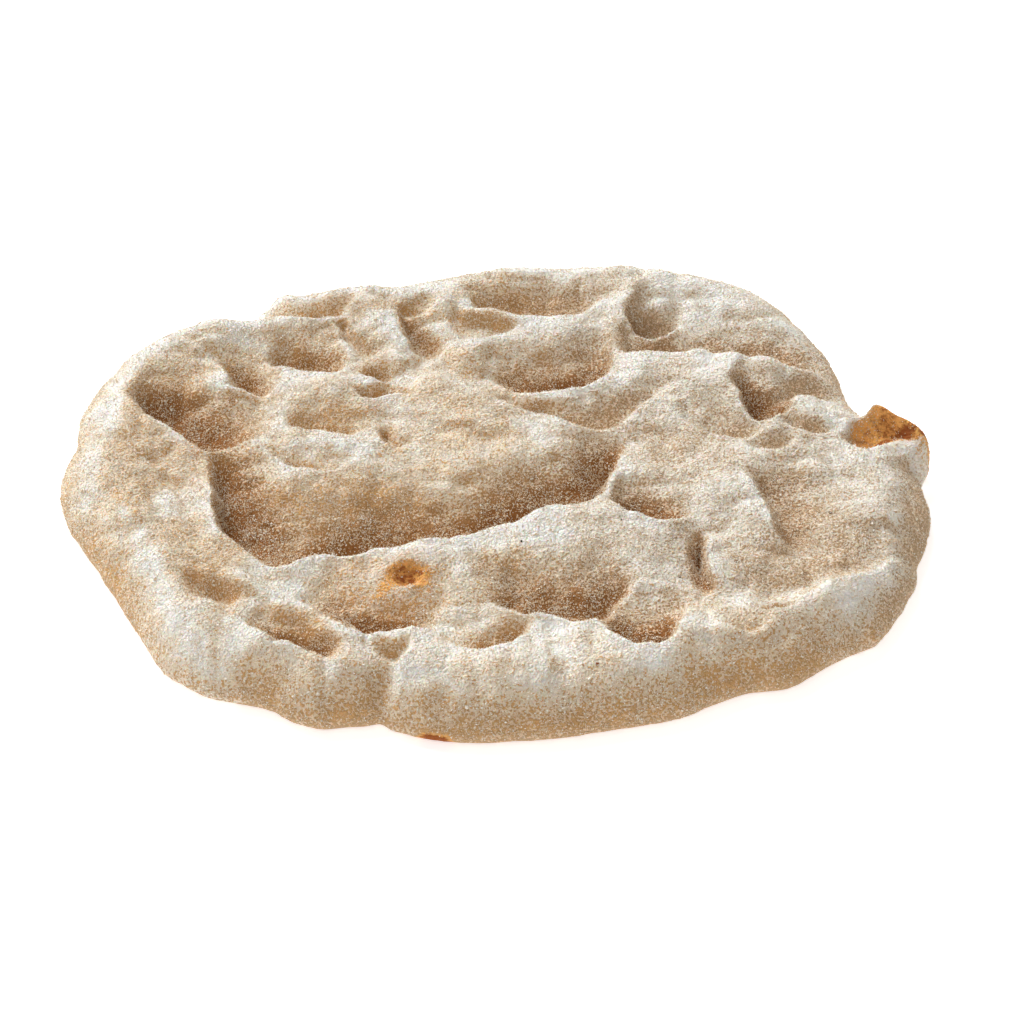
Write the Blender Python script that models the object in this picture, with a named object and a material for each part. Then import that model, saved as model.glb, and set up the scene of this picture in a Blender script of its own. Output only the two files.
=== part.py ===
"""A pinsa base: one oval flatbread of risen dough, pressed all over with the fingertips before baking.

The top is a height field over the plan. Pillows of dough and the rim rise from it, valleys with swollen lips
run between them, and finger marks, folds, creases and lumps finish the skin. A burst bubble stands up at the
right-hand edge.
Rings of points carry the surface from the middle of the top, over the rounded rim and back in along the
flat underside, so the bread is one closed skin.

Metres, +Z up. The origin is the middle of the underside; +X runs along the bread's length, -Y is the front.
"""

import math

import bpy
import numpy as np

MM = 0.001

# Driving dimensions
CRUMB_LEVEL = 12.5  # mm: top of the dough where nothing raises or presses it
RIM_LEVEL = 17.5  # mm: top of the raised rim
RIM_INSET = 19 * MM  # from the outer edge to the rim's highest line
RIM_BREADTH = 15 * MM  # how far the raised rim spreads to each side of that line
EDGE_ROLL = 20 * MM  # how far in from the edge the rim starts to round over
WAIST_LEVEL = 3.5 * MM  # height of the outermost line of the rim
UNDER_ROLL = 5 * MM  # how far in from the edge the rim meets the table
WANDER = 1.8  # mm: how far every outline strays from a true oval
THINNEST = 4.0  # mm: dough left under the deepest press
LIP_LEVEL = 19.5  # mm: how high the lip in front of a deep valley swells at most
LIP_SWELL = 0.6  # how much of the way there the dough swells
LIP_REACH = 28  # mm: how far in front of its top that lip dies away
VALLEY_BEND = 1.9  # how much steeper a valley's slope is at its bottom than on average
VALLEY_ENDS = 2.6  # how square the ends of a valley are: a larger one keeps its depth further along
TOP_RINGS = 33  # rings of points from the middle of the top to where the rim rounds over

# Outer edge: radius from the middle at each angle, in degrees anticlockwise from +X, and in millimetres
EDGE_STEP = 10
EDGE_RADII = [
    146, 140, 134, 141, 147, 152, 148, 140, 135, 132, 128, 128,
    135, 134, 148, 155, 157, 155, 152, 145, 138, 136, 137, 130,
    126, 118, 118, 118, 117, 118, 122, 124, 133, 141, 145, 146,
]

# Nicks in that edge: angle, spread in degrees, depth in millimetres
EDGE_NICKS = [
    (6.4, 2.9, -8.2),
    (13.6, 1.5, 3.5),
    (72, 5, -2),
    (122, 4, -2),
    (127.5, 3, -8),
    (131.5, 1.5, -3),
    (135, 3.5, 3.5),
    (148, 6, -2.3),
    (170.5, 4.5, 3),
    (194, 4, 1.2),
    (219, 6, -0.6),
    (227, 3, -1.5),
    (235, 3, 2),
    (243.5, 2.5, -1.5),
    (251, 1.6, 2),
    (272, 4, 1),
    (303, 4, 1.2),
    (315, 4, -3),
    (329.5, 3, -2),
    (345, 2.5, 1.5),
    (355.5, 3, -1),
]

# Everything below is in millimetres and degrees. Rows of pillows and presses are: middle x, y; reach along;
# reach to the front and to the back across; turn; height of the top of a pillow, or of the floor of a press.
PILLOWS = [
    # left
    (-60, 6, 48, 42, 28, 0, 18),
    (-62, 44, 26, 24, 14, -5, 18),
    (-47, 88, 26, 12, 12, -75, 17.5),
    (-46, 62, 14, 8, 6, 20, 16),
    # middle
    (-16, 40, 28, 26, 18, -20, 18),
    (3, 12, 36, 42, 28, -25, 17.5),
    (-17, -42, 28, 34, 14, 0, 18),
    (30, -26, 42, 40, 14, -3, 18),
    # back
    (26, 80, 24, 16, 12, 0, 17),
    (-7, 68, 22, 16, 14, 15, 17),
    (45, 92, 10, 12, 20, 60, 17.5),
    # right
    (76, 55, 50, 46, 18, -9, 18.5),
    (112, 30, 34, 40, 30, -30, 17),
    (84, 0, 44, 32, 32, 0, 17),
    (82, -52, 16, 14, 12, 10, 17),
]

PRESSES = [
    # hollow of the burst bubble
    (128.5, 20, 10, 8, 9, -35, 8.5),
    (138, 21, 9, 3.5, 6, -38, 12.5),
    # finger marks
    (-31, -53.5, 7.5, 6, 6, 20, 11),
    (54, 90, 9, 7, 8, 10, 3),
    (-29, 77, 13, 7, 7, -65, 6),
    (-70, 62, 10, 6, 9, 80, 6),
]

# Valleys run between the pillows: height of the floor, reach of the slope on the left of the line, reach of
# the wall on its right, and the line itself
VALLEYS = [
    # left basin and its neighbours
    (4, 36, 5, [
        (-135, 48), (-126, 38.5), (-118, 30), (-109, 22), (-101, 16), (-92, 15), (-78, 22),
    ]),
    (6.5, 15, 4, [(-102, 66.5), (-97, 57.5), (-92, 49.5), (-87, 45), (-80, 44.5)]),
    (6.5, 27, 4.5, [(-87, 67.5), (-78, 61.5), (-70, 60), (-62, 61.5), (-54, 69.5)]),
    (9.5, 9, 3.5, [(-55, 62.5), (-50, 57.5), (-45, 54.5), (-38, 58.5)]),
    (9.5, 8, 3.5, [(-55, 46.5), (-49, 42), (-42, 44.5), (-36, 47.5), (-28, 46.5)]),
    (10.5, 15, 4, [(-78, 31.5), (-65, 25.5), (-58, 22.5), (-52, 22.5), (-44, 28.5)]),
    (9.5, 7, 3.5, [(-41, 28.5), (-39, 18.5), (-36, 13.5), (-29, 17.5)]),
    (11, 13, 4.5, [(-84, 17), (-77, 8.5), (-71, 4), (-64, 1), (-56, 0.5), (-46, 8.5)]),
    # back rim
    (10, 16, 4, [(-92, 97.5), (-80, 94.5), (-69, 92.5), (-60, 93.5), (-50, 105.5)]),
    (9.5, 14, 3, [(-62, 93.5), (-57, 83.5), (-51, 73.5), (-46, 62.5)]),
    (11, 11, 3.5, [(-48, 104.5), (-40, 95.5), (-34, 94.5), (-24, 98.5)]),
    (6, 18, 3.5, [(-40, 97.5), (-36, 85.5), (-32, 75.5), (-27, 68.5), (-19, 71.5)]),
    (10, 20, 4, [(-21, 92.5), (-14, 81.5), (-8, 77.5), (0, 80.5), (7, 89.5)]),
    (7, 24, 4.5, [
        (-17, 114.5), (-11, 100.5), (-3, 96.5), (8, 94.5), (20, 94.5), (29, 95.5), (36, 102.5), (45, 111.5),
    ]),
    (3, 15, 4, [(44, 100), (46, 90), (50, 85), (56, 83), (62, 85.5), (68, 96)]),
    (7, 26, 4.5, [
        (34, 82.5), (44, 71.5), (56, 70.5), (68, 70.5), (80, 70.5), (90, 67), (99, 62.5), (108, 59.5),
        (126, 57.5),
    ]),
    # middle of the back half
    (4.5, 30, 4.5, [(-6, 58.5), (5, 50.5), (14, 49), (24, 49), (31, 50.5), (37, 59.5), (42, 76.5)]),
    (10, 16, 4, [
        (-10, 44.5), (2, 39.5), (10, 36.5), (17, 33.5), (24, 28.5), (31, 27.5), (38, 30.5), (47, 38.5),
        (57, 45.5), (66, 49.5),
    ]),
    # right
    (5.5, 20, 4, [(82, 53.5), (86, 43.5), (90, 34.5), (96, 31), (102, 33.5), (108, 44.5)]),
    (10.5, 13, 3.5, [(95, 42.5), (106, 41.5), (114, 42.5), (124, 42.5)]),
    (11, 15, 4, [(61, 36.5), (69, 28.5), (77, 22.5), (86, 21.5), (97, 27.5)]),
    (11.5, 8, 3, [(84, 17), (90, 14), (96, 14), (103, 17)]),
    (11, 8, 3.5, [(99, 36.5), (102, 26.5), (108, 22.5), (114, 22), (122, 26.5)]),
    (8.5, 22, 5, [(84, 2), (91, -7), (95, -16), (95, -25), (97, -33), (104, -42)]),
    # long valley on the left, and on across the middle
    (4, 26, 4.5, [
        (-101, 14), (-97, 0.5), (-94, -11.5), (-91, -22.5), (-86, -32), (-78, -40.5), (-69, -45),
        (-58, -43.5),
    ]),
    (6.5, 32, 4.5, [
        (-90, -35.5), (-76, -43.5), (-64, -42.5), (-52, -40.5), (-42, -37.5), (-30, -35.5), (-18, -33.5),
        (-6, -28.5), (10, -20.5),
    ]),
    (4.5, 27, 4.5, [(-18, -33.5), (-4, -26.5), (7, -23.5), (14, -18.5), (22, -16), (34, -13.5)]),
    (4.5, 24, 4, [(10, -23.5), (23, -17.5), (31, -11.5), (34, -2.5), (37, 7.5), (42, 20.5)]),
    (6, 20, 4, [(37, -12.5), (45, -20.5), (51, -23.5), (58, -25.5), (67, -18.5)]),
    (6, 6, 2, [(67.5, -61), (67, -51), (67.5, -41), (69, -29)]),
    # front
    (6.5, 32, 4.5, [(-8, -60.5), (3, -65.5), (12, -68.5), (21, -71), (29, -70), (36, -63.5), (45, -51.5)]),
    (3.5, 26, 4, [(28, -70), (35, -79), (41, -85), (49, -86), (56, -79), (62, -69)]),
    (12.5, 12, 3.5, [(67, -74.5), (74, -79.5), (81, -80.5), (89, -74.5)]),
    (11.5, 8, 3.5, [(80, -67), (87, -70.5), (93, -69), (100, -61)]),
    (10.5, 28, 9, [(68, -55.5), (82, -60.5), (96, -58.5), (108, -52.5), (120, -43.5), (131, -29.5)]),
    (10.5, 11, 7, [(-104, -45.5), (-97, -55.5), (-91, -61.5), (-85, -66.5), (-79, -70.5)]),
    (8, 13, 3.5, [(-81, -74.5), (-73, -80.5), (-65, -86), (-57, -90.5), (-47, -94.5)]),
    (5.5, 22, 4, [
        (-65, -61.5), (-57, -71.5), (-51, -77.5), (-46, -80.5), (-38, -80.5), (-29, -78.5), (-17, -73.5),
    ]),
    (12, 6, 3.5, [(-42, -86.5), (-37, -93.5), (-32, -93.5), (-27, -87.5)]),
    (9, 12, 4, [(-18, -82.5), (-12, -86.5), (-6, -88.5), (0, -85.5), (6, -79.5), (13, -74.5)]),
]

# Folds stand up as narrow ridges: height of the crest, half-width, and the line it follows
FOLDS = [
    (17.5, 7, [
        (-109, -38), (-99, -47), (-83, -57), (-72, -65), (-58, -74), (-48, -83), (-40, -94), (-36, -102),
    ]),
    (17, 6, [(-92, -82), (-84, -75), (-76, -66)]),
    (17, 5, [(-22, 110), (-13, 94), (0, 89.5), (15, 88), (29, 89), (37, 98)]),
    (18, 5, [(53, 119), (49, 108), (44, 96), (40, 86), (42, 74), (44, 64)]),
    (16, 5, [(4, 45), (14, 44), (24, 43.5), (34, 46), (40, 54)]),
    (17, 5, [(-130, 32), (-117, 19), (-104, 8)]),
    (16, 4, [(-86, 88), (-78, 88), (-68, 87), (-56, 90), (-50, 98)]),
    (17, 4, [(-48, 106), (-56, 92), (-52, 80), (-46, 70)]),
    (17, 4, [(-48, 106), (-40, 92), (-35, 76)]),
    (15, 4, [(-54, 58), (-46, 63), (-38, 67)]),
    (17.5, 5, [(-76, 46), (-66, 51), (-57, 50), (-50, 44)]),
    (16, 4.5, [(130, 11), (137, 14), (143, 14.5), (152, 13)]),
    (16, 4.5, [(112, 39), (119, 37.5), (124, 35.5), (129, 32)]),
]

# Creases are narrow grooves: depth, half-width, and the line
CREASES = [
    (1, 3, [(-122, 78), (-112, 74), (-104, 67), (-100, 59), (-94, 48)]),
    (2, 5, [(-35, -90), (-36, -100), (-38, -110), (-39, -122)]),
    (1.5, 2.5, [(138, -38), (133, -32), (127, -28)]),
    (1.8, 5, [(17, -74), (20, -84), (21, -95), (20, -110)]),
    (0.7, 3, [(3, -46), (8, -54), (12, -64)]),
    (1.2, 4, [(-148, 22), (-136, 16), (-124, 2), (-116, -16)]),
    (1.2, 4, [(-146, -8), (-136, -14), (-126, -26), (-118, -36)]),
    (1.3, 3, [(-122, 10), (-112, -4), (-106, -20), (-100, -34)]),
    (1.1, 3, [(-132, 2), (-122, -10), (-113, -26), (-104, -40)]),
    (1.2, 4, [(104, 18), (112, 10), (116, 0), (124, -8)]),
    (1.2, 4, [(46, 30), (54, 20), (58, 8), (66, 2)]),
    (1.4, 4, [(58, -84), (72, -88), (86, -84), (98, -76)]),
    (1.2, 4, [(-28, 32), (-20, 22), (-8, 18), (4, 22)]),
]

# The burst bubble: a thin wall of crust that stands up along the right-hand edge, from its tip to its corner
BURST_TIP = 23.5
BURST_CORNER = 18.5
BURST_THICKNESS = 3.2
BURST_WALL = [(131, 28.4), (136, 24.8), (140.4, 21.6), (144.6, 18), (147.6, 14)]


def periodic_spline(values, position):
    """Smooth closed curve through evenly spaced values; position counts in steps round the loop."""
    values = np.asarray(values, float)
    first = np.floor(position).astype(int)
    t = position - first
    before, start, end, after = (values[(first + k) % len(values)] for k in (-1, 0, 1, 2))
    return start + 0.5 * t * (
        end - before
        + t * (2 * before - 5 * start + 4 * end - after + t * (3 * (start - end) + after - before))
    )


def edge_radius(angle):
    """Plan radius of the bread's outermost line."""
    degrees = np.degrees(angle)
    radius = periodic_spline(EDGE_RADII, degrees / EDGE_STEP)
    for middle, spread, depth in EDGE_NICKS:
        away = (degrees - middle + 180) % 360 - 180
        radius = radius - depth * np.exp(-((away / spread) ** 2))
    return MM * radius


def ripple(x, y, wavelength, seed):
    """Smooth random waves from -1 to 1, about one wavelength apart. All in millimetres."""
    size = 512
    grid = np.random.default_rng(seed).uniform(-1, 1, (size, size))
    u, v = x / wavelength + size / 2, y / wavelength + size / 2
    i, j = np.floor(u).astype(int) % (size - 1), np.floor(v).astype(int) % (size - 1)
    u, v = u - np.floor(u), v - np.floor(v)
    u, v = u * u * u * (u * (6 * u - 15) + 10), v * v * v * (v * (6 * v - 15) + 10)
    low = grid[i, j] * (1 - u) + grid[i + 1, j] * u
    high = grid[i, j + 1] * (1 - u) + grid[i + 1, j + 1] * u
    return low * (1 - v) + high * v


def billow(x, y, wavelength, seed):
    """Random round lumps with soft creases between them, from about 0 to 1. All in millimetres."""
    return np.sqrt(ripple(x, y, wavelength, seed) ** 2 + 0.006)


def smooth_step(low, high, value):
    t = np.clip((value - low) / (high - low), 0, 1)
    return t * t * (3 - 2 * t)


def oval_share(x, y, middle_x, middle_y, reach, front, back, turn):
    """1 in the middle of an oval, falling smoothly to 0 at its edge. Its front and back halves may differ."""
    c, s = math.cos(math.radians(turn)), math.sin(math.radians(turn))
    dx, dy = x - middle_x, y - middle_y
    along, across = dx * c + dy * s, dy * c - dx * s
    across = np.where(across < 0, across / front, across / back)
    return np.clip(1 - (along / reach) ** 2 - across**2, 0, 1)


def valley_share(x, y, back, front, line):
    """How deep a valley is, from 1 along its bottom to 0, and how high the lip in front of it swells.

    On the left of the line, as it is followed, it rises like a dome, and on the right like a wall.
    """
    heading = math.atan2(line[-1][1] - line[0][1], line[-1][0] - line[0][0])
    c, s = math.cos(heading), math.sin(heading)
    line_along = [px * c + py * s for px, py in line]
    line_across = [py * c - px * s for px, py in line]
    along, across = x * c + y * s, y * c - x * s
    softened = [np.interp(along + shift, line_along, line_across) for shift in (-4, -2, 0, 2, 4)]
    front = 1.25 * front
    gap = across - sum(softened) / len(softened) - 0.15 * front
    run = (along - line_along[0]) / (line_along[-1] - line_along[0])
    ends = np.clip(1 - np.abs(2 * run - 1) ** VALLEY_ENDS, 0, 1) ** 1.5
    dome = np.clip(1.03 - np.hypot(gap / back, 0.03), 0, 1) ** VALLEY_BEND
    wall = np.clip(1 - (gap / front) ** 2, 0, 1) ** 1.7
    lip = smooth_step(0.2, 1.2, -gap / front) * np.clip(1 + (gap + front) / LIP_REACH, 0, 1) ** 2
    return np.where(gap > 0, dome, wall) * ends, lip * ends


def line_share(x, y, half_width, line, tapered=True):
    """1 on a line through these points, falling to 0 at half_width from it, and how far along it that is."""
    best, best_run = np.zeros_like(x), np.zeros_like(x)
    count = len(line) - 1
    for k in range(count):
        (ax, ay), (bx, by) = line[k], line[k + 1]
        dx, dy = bx - ax, by - ay
        t = np.clip(((x - ax) * dx + (y - ay) * dy) / (dx * dx + dy * dy), 0, 1)
        gap = ((x - ax - t * dx) ** 2 + (y - ay - t * dy) ** 2) / half_width**2
        run = (k + t) / count
        share = np.clip(1 - gap, 0, 1) ** 1.5
        if tapered:
            share = share * (1 - (2 * run - 1) ** 4)
        best_run = np.where(share > best, run, best_run)
        best = np.maximum(best, share)
    return best, best_run


def wandered(u, v):
    """Plan places in millimetres, shifted a little so that every outline strays from a true one."""
    x = u + WANDER * ripple(u, v, 15, 3) + 0.5 * WANDER * ripple(u, v, 6, 5)
    y = v + WANDER * ripple(u, v, 15, 4) + 0.5 * WANDER * ripple(u, v, 6, 6)
    return x, y


def top_level(x, y, inset):
    """Height of the dough at a plan point that lies this far in from the edge, before the rim rounds over."""
    u, v, inset = x / MM, y / MM, inset / MM
    x, y = wandered(u, v)
    uneven = 0.9 + 0.25 * ripple(u, v, 13, 7)
    swell = np.exp(-(((inset - RIM_INSET / MM) / (RIM_BREADTH / MM)) ** 2))
    level = CRUMB_LEVEL + (RIM_LEVEL - CRUMB_LEVEL) * swell
    for middle_x, middle_y, reach, front, back, turn, top in PILLOWS:
        raised = oval_share(x, y, middle_x, middle_y, reach, front, back, turn)
        level = level + (top - level) * raised
    for middle_x, middle_y, reach, front, back, turn, floor in PRESSES:
        pressed = oval_share(x, y, middle_x, middle_y, reach, front, back, turn) ** 1.7
        level = level - np.maximum(level - floor, 0) * pressed
    shares = [(floor, *valley_share(x, y, back, front, line)) for floor, back, front, line in VALLEYS]
    lips = np.max([lip * smooth_step(13, 7, floor) for floor, _, lip in shares], axis=0)
    level = level + LIP_SWELL * np.maximum(LIP_LEVEL - level, 0) * lips
    for floor, deep, _ in shares:
        level = level - np.maximum(level - floor, 0) * deep * uneven
    for top, half_width, line in FOLDS:
        level = level + np.maximum(top - level, 0) * line_share(x, y, half_width, line)[0]
    for depth, half_width, line in CREASES:
        level = level - depth * line_share(x, y, half_width, line)[0]
    level = level + 1.2 * billow(u, v, 27, 1) + 1.5 * billow(u, v, 12, 2) + 0.6 * billow(u, v, 6.5, 8) - 0.8
    spare = level - THINNEST
    level = THINNEST + 0.5 * (spare + np.sqrt(spare**2 + 2))
    share, run = line_share(u, v, BURST_THICKNESS, BURST_WALL, tapered=False)
    level = level + np.maximum(BURST_TIP + (BURST_CORNER - BURST_TIP) * run**1.6 - level, 0) * share
    return MM * level


def edge_roll(angle):
    """How far in from the edge the rim starts to round over: nearly at once where the burst bubble stands."""
    away = (np.degrees(angle) - 9 + 180) % 360 - 180
    return EDGE_ROLL - 16.5 * MM * np.exp(-((away / 6) ** 6))


def ring_angles(count):
    return 2 * math.pi * np.arange(count) / count


def top_ring(count, share):
    """Points across the top, this share of the way from the middle to where the rim rounds over."""
    angle = ring_angles(count)
    radius = share * (edge_radius(angle) - edge_roll(angle))
    x, y = radius * np.cos(angle), radius * np.sin(angle)
    return np.stack([x, y, top_level(x, y, edge_radius(angle) - radius)], 1)


def rolled_ring(count, quarter):
    """Points round the rim: quarter runs from 0, on top, through 1, the waist, to 2, on the table."""
    angle = ring_angles(count)
    turned = quarter * math.pi / 2
    inset = (edge_roll(angle) if quarter < 1 else UNDER_ROLL) * (1 - math.sin(turned))
    radius = edge_radius(angle) - inset
    x, y = radius * np.cos(angle), radius * np.sin(angle)
    if quarter < 1:
        level = top_level(x, y, inset)
        level = WAIST_LEVEL + (level - WAIST_LEVEL) * math.cos(turned)
    else:
        level = np.full(count, WAIST_LEVEL * (1 + math.cos(turned)))
    return np.stack([x, y, level], 1)


def under_ring(count, share):
    angle = ring_angles(count)
    radius = share * (edge_radius(angle) - UNDER_ROLL)
    return np.stack([radius * np.cos(angle), radius * np.sin(angle), np.zeros(count)], 1)


def skin_rings(top_rings, roll_rings, under_roll_rings, under_rings):
    """Every ring of the skin in order, from the middle of the top to the middle of the underside."""
    count = 6 * top_rings
    rings = [top_ring(1, 0)]
    rings += [top_ring(6 * k, k / top_rings) for k in range(1, top_rings + 1)]
    rings += [rolled_ring(count, k / roll_rings) for k in range(1, roll_rings + 1)]
    rings += [rolled_ring(count, 1 + k / under_roll_rings) for k in range(1, under_roll_rings + 1)]
    for k in range(under_rings - 1, 0, -1):
        share = k / under_rings
        rings.append(under_ring(max(6, int(count * share) // 2), share))
    rings.append(under_ring(1, 0))
    return rings


def strip(first, first_count, second, second_count):
    """Triangles between two rings whose points start at these indices, matched by angle."""
    faces = []
    i = j = 0
    while i < first_count or j < second_count:
        first_is_nearer = (i + 1) * second_count <= (j + 1) * first_count
        step_first = j == second_count or (i < first_count and first_is_nearer)
        a, b = first + i % first_count, second + j % second_count
        if step_first:
            i += 1
            faces.append((a, b, first + i % first_count))
        else:
            j += 1
            faces.append((a, b, second + j % second_count))
    return [face for face in faces if len(set(face)) == 3]


def plan_middle():
    """Middle of the outline's extents, which the bread is centred on."""
    rim = rolled_ring(6 * TOP_RINGS, 1)
    return (rim.min(axis=0) + rim.max(axis=0)) / 2 * (1, 1, 0)


def skin(top_rings, roll_rings, under_roll_rings, under_rings):
    """(points, triangles) of the whole bread."""
    rings = skin_rings(top_rings, roll_rings, under_roll_rings, under_rings)
    starts = np.cumsum([0] + [len(ring) for ring in rings])
    faces = []
    for k in range(len(rings) - 1):
        faces += strip(starts[k], len(rings[k]), starts[k + 1], len(rings[k + 1]))
    return np.concatenate(rings) - plan_middle(), faces


def crumb_material():
    material = bpy.data.materials.new("floured_dough")
    material.use_nodes = True
    shader = material.node_tree.nodes["Principled BSDF"]
    shader.inputs["Base Color"].default_value = (0.80, 0.68, 0.50, 1)
    shader.inputs["Roughness"].default_value = 0.85
    shader.inputs["Metallic"].default_value = 0
    return material


def make_pinsa():
    points, faces = skin(TOP_RINGS, roll_rings=5, under_roll_rings=3, under_rings=8)
    mesh = bpy.data.meshes.new("pinsa")
    mesh.from_pydata(points.tolist(), [], faces)
    mesh.materials.append(crumb_material())
    mesh.shade_smooth()
    pinsa = bpy.data.objects.new("pinsa", mesh)
    bpy.context.scene.collection.objects.link(pinsa)
    return pinsa


def main():
    for old in list(bpy.data.objects):
        bpy.data.objects.remove(old)
    make_pinsa()


main()
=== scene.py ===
"""The looks of the pinsa base: its floured skin, the grains on it, its browned spots, and the light.

The skin repeats the bread's own relief on a mesh whose rings are four to five times closer, and adds what is
too small for the solid: clots of flour and fine wrinkles. Flour and semolina are scattered over it as real
grains, and flakes of bran lie on it. Metres, +Z up; the front of the bread faces -Y.
"""

import math

import bpy
import numpy as np
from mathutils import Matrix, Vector


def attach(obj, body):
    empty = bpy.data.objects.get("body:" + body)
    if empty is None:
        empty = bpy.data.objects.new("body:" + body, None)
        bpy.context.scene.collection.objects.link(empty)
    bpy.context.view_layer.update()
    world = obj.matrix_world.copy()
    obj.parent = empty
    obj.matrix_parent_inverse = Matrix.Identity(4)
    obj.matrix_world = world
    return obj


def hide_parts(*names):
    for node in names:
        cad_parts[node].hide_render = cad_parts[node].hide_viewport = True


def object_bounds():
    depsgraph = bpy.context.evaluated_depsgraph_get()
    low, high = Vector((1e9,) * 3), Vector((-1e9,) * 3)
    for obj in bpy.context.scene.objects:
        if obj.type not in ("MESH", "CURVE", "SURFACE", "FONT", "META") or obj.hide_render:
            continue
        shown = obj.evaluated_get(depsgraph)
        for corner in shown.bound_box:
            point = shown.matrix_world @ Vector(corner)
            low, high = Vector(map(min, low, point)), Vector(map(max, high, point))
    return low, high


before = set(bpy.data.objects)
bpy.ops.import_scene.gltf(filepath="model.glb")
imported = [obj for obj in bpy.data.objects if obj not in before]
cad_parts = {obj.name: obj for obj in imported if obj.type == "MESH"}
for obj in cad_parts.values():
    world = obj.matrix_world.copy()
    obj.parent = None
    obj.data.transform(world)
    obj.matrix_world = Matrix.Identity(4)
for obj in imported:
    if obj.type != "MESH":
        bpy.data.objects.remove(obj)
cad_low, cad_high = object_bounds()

MM = 0.001

# Driving dimensions of the bread, as in its solid
CRUMB_LEVEL = 12.5  # mm: top of the dough where nothing raises or presses it
RIM_LEVEL = 17.5  # mm: top of the raised rim
RIM_INSET = 19 * MM  # from the outer edge to the rim's highest line
RIM_BREADTH = 15 * MM  # how far the raised rim spreads to each side of that line
EDGE_ROLL = 20 * MM  # how far in from the edge the rim starts to round over
WAIST_LEVEL = 3.5 * MM  # height of the outermost line of the rim
UNDER_ROLL = 5 * MM  # how far in from the edge the rim meets the table
WANDER = 1.8  # mm: how far every outline strays from a true oval
THINNEST = 4.0  # mm: dough left under the deepest press
LIP_LEVEL = 19.5  # mm: how high the lip in front of a deep valley swells at most
LIP_SWELL = 0.6  # how much of the way there the dough swells
LIP_REACH = 28  # mm: how far in front of its top that lip dies away
VALLEY_BEND = 1.9  # how much steeper a valley's slope is at its bottom than on average
VALLEY_ENDS = 2.6  # how square the ends of a valley are: a larger one keeps its depth further along
LUMPS = (  # round lumps in the dough: height and wavelength in millimetres, and random seed
    (1.2, 27, 1),
    (1.5, 12, 2),
    (0.6, 6.5, 8),
)
LUMPS_SINK = 0.8  # mm: what they are lowered by, so that they hardly thicken the dough on the whole
BURST_ANGLE = 9  # degrees: the direction in which the burst bubble stands
BURST_SPREAD = 6  # degrees to each side of it where the rim hardly rounds over
BURST_ROLL_LOSS = 16.5 * MM  # how much nearer to the edge it starts to round over there
SOLID_TOP_RINGS = 33  # rings of points across the top of the solid, whose waist sets where the middle is

# Rings of the skin's mesh: across the top, down to the waist, down to the table, and across the underside
TOP_RINGS = 150
ROLL_RINGS = 22
UNDER_ROLL_RINGS = 6
UNDER_RINGS = 10

# Low relief that only the skin has
CLOTS = (  # height and wavelength in millimetres, and random seed
    (0.14, 3.2, 11),
    (0.1, 1.9, 12),
    (0.22, 6, 13),
)
WRINKLE_HEIGHT = 0.25  # mm: wrinkles on the rim, about 3 degrees apart and 8 mm long
WRINKLE_WAVE = 2.4  # their wavelength
WRINKLE_ROUND = 46  # what a radian round the bread counts for in it
WRINKLE_ALONG = 3.2  # how many millimetres outwards count for one in it
WRINKLED_FROM, WRINKLED_FULLY = 95, 135  # mm from the middle

# Camera and studio
CAMERA_TARGET = (5.4 * MM, -23.2 * MM, 10 * MM)
CAMERA_DISTANCE = 0.85
CAMERA_ELEVATION = math.radians(40)
CAMERA_LENS = 88  # mm
CAMERA_SENSOR = 36  # mm
LIGHTS = [  # name, strength, spread in degrees, where it comes from
    ("key", 3.45, 45, (-0.45, 0.7, 0.6)),
    ("fill", 0.6, 70, (-0.2, -0.6, 0.75)),
]
WORLD_STRENGTH = 0.27
WORLD_WHITE = (1, 0.97, 0.93)
FLOOR_WHITE = (0.92, 0.92, 0.92)
FLOOR_GLOW = 0.62  # a light table under the bread, which keeps its shadow pale
FLOOR_SIZE = 8
FLOOR_DROP = 0.05 * MM  # how far the floor lies under the bread, so that their faces don't meet

# Where flour lies, and where light and shade are painted on it. Its cover runs from 0, bare dough, to 1,
# thick flour, and is added up from these.
FLOUR_AND_LIGHT_FROM = (-0.18, 0.45, 0.87)  # the top is floured thickest, and painted lightest, where it faces this way, towards the key light
COVER_EVERYWHERE = 0.1
COVER_FACING = 0.85  # on what faces that way: flour, and painted light
# painted shade: the cover lost at the bottom of deep valleys, where there is also less flour
COVER_VALLEY_LOSS = 0.85
COVER_CREST = 0.35  # on the crest in front of a valley: a painted highlight, with thicker flour
COVER_BACK = 0.12  # towards the back
COVER_CLOUDS = ((0.14, 16, 51), (0.1, 6, 52))  # strength, wavelength in millimetres, and random seed
COVER_DUSTY_AND_LIT = 0.5
COVER_BARE_AND_SHADE_LOSS = 0.3
COVER_BROWNED_LOSS = 0.9
RIM_FLOUR_AND_LIGHT_FROM = (-0.45, 0.45, 0.6)  # the same, for the side of the rim: painted lighter where it faces the key light
RIM_COVER = 0.44
RIM_COVER_FACING = 0.6
RIM_COVER_LEAST = 0.16
RIM_COVER_HEIGHT = 0.25  # gained near the top of the rim and lost near the table
SPOT_WANDER = 1.4  # mm: how far the outline of a coloured place strays from a true oval
BACK_FROM, BACK_FULLY = 40, 95  # mm: y where the back begins and where it counts in full
BACK_VALLEY_FADE = 0.45  # the painted shade in valleys at the back is lighter
FOOT_TONE = 0.8  # how dark the foot of the rim is, where it meets the table: painted shade, with browner baked dough
# how pale and grey the foot of the rim is: painted shade
FOOT_PALENESS = 0.8

# The skin's material: sizes of its noise in millimetres
GRIT_SIZE = 0.85
SPECK_SIZE = 1.7
PATCH_SIZE = 6
BROAD_SIZE = 25
CRUST_MOTTLE_SIZE = 2.2
FLOUR_EDGE = 0.15  # how softly flour gives way to dough
BUMP_HEIGHT = 0.6 * MM

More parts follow.
